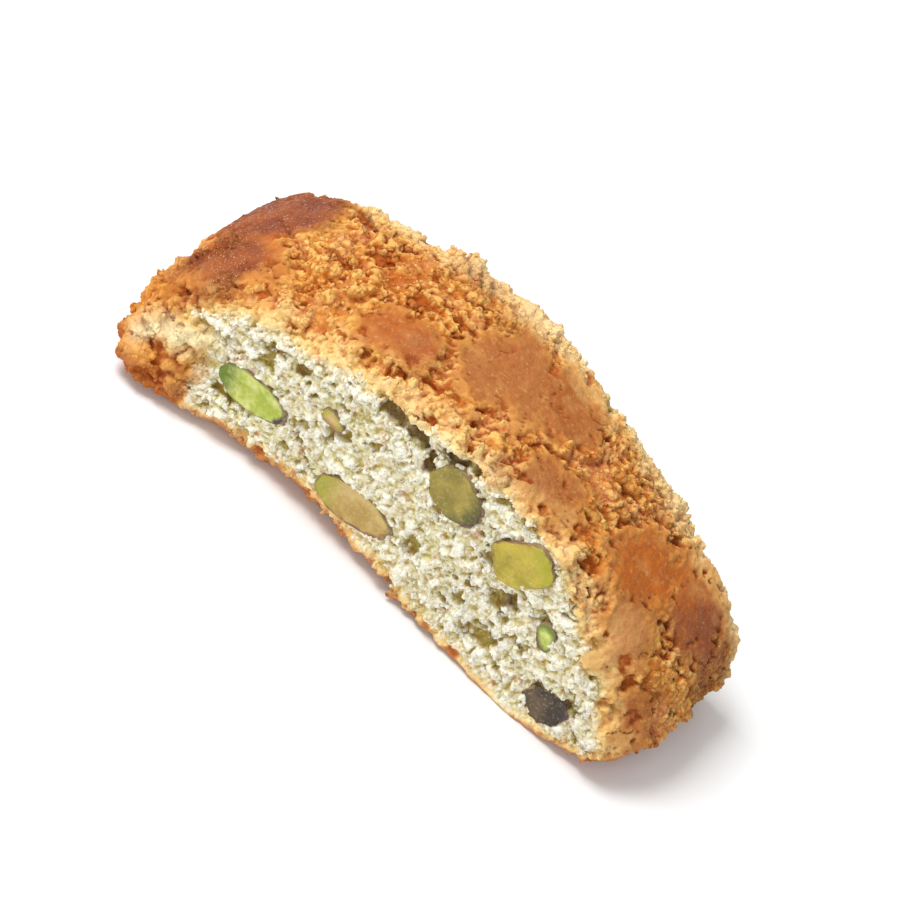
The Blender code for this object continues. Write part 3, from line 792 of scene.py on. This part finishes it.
def kernel_mesh(name, x, z, length, height, depth, degrees, square, face, rounds=KERNEL_ROUNDS):
    bm = bmesh.new()
    bmesh.ops.create_icosphere(bm, subdivisions=rounds, radius=1)
    y = FRONT_CUT_Y if face == FRONT else BACK_CUT_Y
    face_y = y + face * FACE_PROUD
    turn = Matrix.Rotation(math.radians(-degrees), 4, "Y")
    ragged = RAGGED_BY if name == RAGGED_KERNEL else 1
    inside, deep, along, aside = [], [], [], []
    for vert in bm.verts:
        d = vert.co.normalized()
        power = sum(abs(c) ** square for c in d) ** (-1 / square)
        taper = 1 - KERNEL_TAPER * d.z
        lump = 1 + KERNEL_LUMP * noise.noise(d * KERNEL_LUMPS + Vector((x, z, depth)))
        lump += wandering(d + Vector((z, x, 0)), OUTLINE_UNEVEN) * ragged
        local = Vector((d.z * length, d.y * taper * depth, d.x * taper * height)) * power * lump
        p = turn @ local + Vector((x, y - face * KERNEL_SUNK * depth, z))
        beyond = (p.y - face_y) * face
        flat = 0.0
        if beyond > 0:
            flat = smooth_step(0.0, FACE_ROUND, beyond)
            p.y = face_y + face * (wandering(p, FACE_UNEVEN) * flat - FACE_BEVEL * (1 - flat))
        vert.co = p * MM
        inside.append(flat)
        deep.append(smooth_step(0.0, RIM_REACH, beyond))
        along.append(local.x / length)
        aside.append(local.z / height)
    mesh = bpy.data.meshes.new(name)
    bm.to_mesh(mesh)
    bm.free()
    for key, values in (("inside", inside), ("deep", deep), ("along", along), ("aside", aside)):
        add_values(mesh, key, values)
    mesh.polygons.foreach_set("use_smooth", [True] * len(mesh.polygons))
    mesh.transform(Matrix.Translation(CENTRING))
    return mesh


def kernel_material(name, middle, light, tip, rim, tip_end, rim_degrees):
    flesh = Finish(name)
    inside, along, aside = flesh.values("inside"), flesh.values("along"), flesh.values("aside")
    cloud, streak, fleck = flesh.noise(330, 3), flesh.noise(900, 4), flesh.noise(2400, 3)
    lightness = flesh.math("ADD", cloud, flesh.math("MULTIPLY", aside, 0.06))
    colour = flesh.mix(flesh.ramp(lightness, 0.42, 0.60), middle, light)
    toward_tip = flesh.math("MULTIPLY_ADD", along, tip_end)
    flesh.put(flesh.math("MULTIPLY", streak, 0.6), toward_tip.node.inputs[2])
    colour = flesh.mix(flesh.ramp(toward_tip, 0.62, 1.05), colour, tip)
    side = flesh.math("MULTIPLY", along, math.cos(math.radians(rim_degrees)))
    up = flesh.math("MULTIPLY", aside, math.sin(math.radians(rim_degrees)))
    rim_side = flesh.ramp(flesh.math("ADD", side, up), 0.1, 0.75)
    colour = flesh.mix(flesh.ramp(inside, 0.98, 0.30, 0.0, 0.7), colour, tip)
    near_rim = flesh.ramp(flesh.math("ADD", flesh.values("deep"), streak), 1.00, 0.62)
    skin = flesh.math("MULTIPLY", rim_side, near_rim)
    colour = flesh.mix(skin, colour, rim)
    colour = flesh.mix(flesh.ramp(inside, 0.12, 0.02), colour, SHADED_SKIN)
    colour = flesh.mix(flesh.ramp(fleck, 0.56, 0.72, 0.0, 0.2), colour, linear(240, 232, 190))
    flesh.put(colour, flesh.shader.inputs["Base Color"])
    flesh.shader.inputs["Roughness"].default_value = 0.5
    flesh.shader.inputs["Subsurface Weight"].default_value = 0.12
    flesh.shader.inputs["Subsurface Radius"].default_value = (0.6, 0.8, 0.2)
    flesh.shader.inputs["Subsurface Scale"].default_value = 0.8 * MM
    rough = flesh.bump(flesh.noise(1500, 4, 0.6), 0.14 * MM)
    flesh.put(flesh.bump(streak, 0.12 * MM, 0.8, rough), flesh.shader.inputs["Normal"])
    return flesh.material


for name, *form in PISTACHIOS:
    mesh = kernel_mesh(name + "_flesh", *form)
    mesh.materials.append(kernel_material(name + "_look", *KERNEL_COLOURS[name]))
    piece = new_object(name + "_flesh", mesh)
    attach(piece, "root")
    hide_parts(name)


# Two small chips of pistachio, cut off by the knife, that stay stuck in the crumb. They are made like the
# kernels, of fewer faces.
CHIP_ROUNDS = 4
CHIPS = (
    ("pistachio_chip_green", 28.2, 13.8, 2.2, 1.4, 1.2, -68, 2.3, FRONT, "pistachio_front_left"),
    ("pistachio_chip_yellow", -11.6, 16.1, 2.0, 1.2, 1.2, -12, 2.2, FRONT, "pistachio_front_low"),
)
for name, *form, like in CHIPS:
    mesh = kernel_mesh(name, *form, rounds=CHIP_ROUNDS)
    mesh.materials.append(kernel_material(name + "_look", *KERNEL_COLOURS[like]))
    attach(new_object(name, mesh), "root")


# A pale, matt table top without a seam, larger than the picture, so that only the soft shadow shows on it.
FLOOR_SIDE, TABLE_WHITE, TABLE_ROUGHNESS = 4.0, (0.92, 0.92, 0.92), 0.9  # side in metres
bm = bmesh.new()
bmesh.ops.create_grid(bm, x_segments=1, y_segments=1, size=FLOOR_SIDE / 2)
floor_mesh = bpy.data.meshes.new("table_top")
bm.to_mesh(floor_mesh)
bm.free()
paper = Finish("white paper")
paper.put(TABLE_WHITE, paper.shader.inputs["Base Color"])
paper.put(TABLE_ROUGHNESS, paper.shader.inputs["Roughness"])
floor_mesh.materials.append(paper.material)
floor = new_object("table_top", floor_mesh)


# The camera looks down on the slice's front cut and crown from a little to the right. It is rolled so that
# the slice runs down to the right in the picture.
AZIMUTH, ELEVATION, SLOPE = math.radians(15), math.radians(41), math.radians(-43)
LENS, SENSOR, DISTANCE = 138.0, 36.0, 0.459  # the distance in metres
AIM = Vector((-0.5, 2.4, 14.3)) * MM
back = Vector((
    math.sin(AZIMUTH) * math.cos(ELEVATION), -math.cos(AZIMUTH) * math.cos(ELEVATION), math.sin(ELEVATION),
))
level = Vector((math.cos(AZIMUTH), math.sin(AZIMUTH), 0))
rise = back.cross(level)
roll = SLOPE - math.atan2(rise.x, level.x)
across = math.cos(roll) * level - math.sin(roll) * rise
upward = math.sin(roll) * level + math.cos(roll) * rise
lens = bpy.data.cameras.new("camera")
lens.lens, lens.sensor_width = LENS, SENSOR
lens.clip_start, lens.clip_end = 0.01, 20
camera = new_object("camera", lens)
picture_axes = Matrix((across, upward, back)).transposed()
stand = picture_axes.to_4x4()
stand.translation = AIM + back * DISTANCE
camera.matrix_world = stand
bpy.context.scene.camera = camera


# Soft daylight: one large lamp from the top of the picture, a weak one from the camera's side, and a white
# room round both.
KEY_AT, KEY_SIDE, KEY_WATTS = (-0.06, 0.60, 0.40), 0.34, 4.6  # metres across, up and toward the camera
FILL_AT, FILL_SIDE, FILL_WATTS = (-0.30, -0.15, 0.70), 0.5, 2.0
ROOM_STRENGTH = 0.52


def lamp(name, place, side, watts):
    light = bpy.data.lights.new(name, "AREA")
    light.energy, light.size = watts, side
    obj = new_object(name, light)
    away = picture_axes @ Vector(place)
    obj.location = AIM + away
    obj.rotation_euler = (-away).to_track_quat("-Z", "Y").to_euler()


lamp("key_light", KEY_AT, KEY_SIDE, KEY_WATTS)
lamp("fill_light", FILL_AT, FILL_SIDE, FILL_WATTS)
world = bpy.data.worlds.new("white room")
world.use_nodes = True
world.node_tree.nodes["Background"].inputs["Color"].default_value = (1.0, 1.0, 1.0, 1)
world.node_tree.nodes["Background"].inputs["Strength"].default_value = ROOM_STRENGTH
bpy.context.scene.world = world
bpy.context.scene.view_settings.view_transform = "Standard"
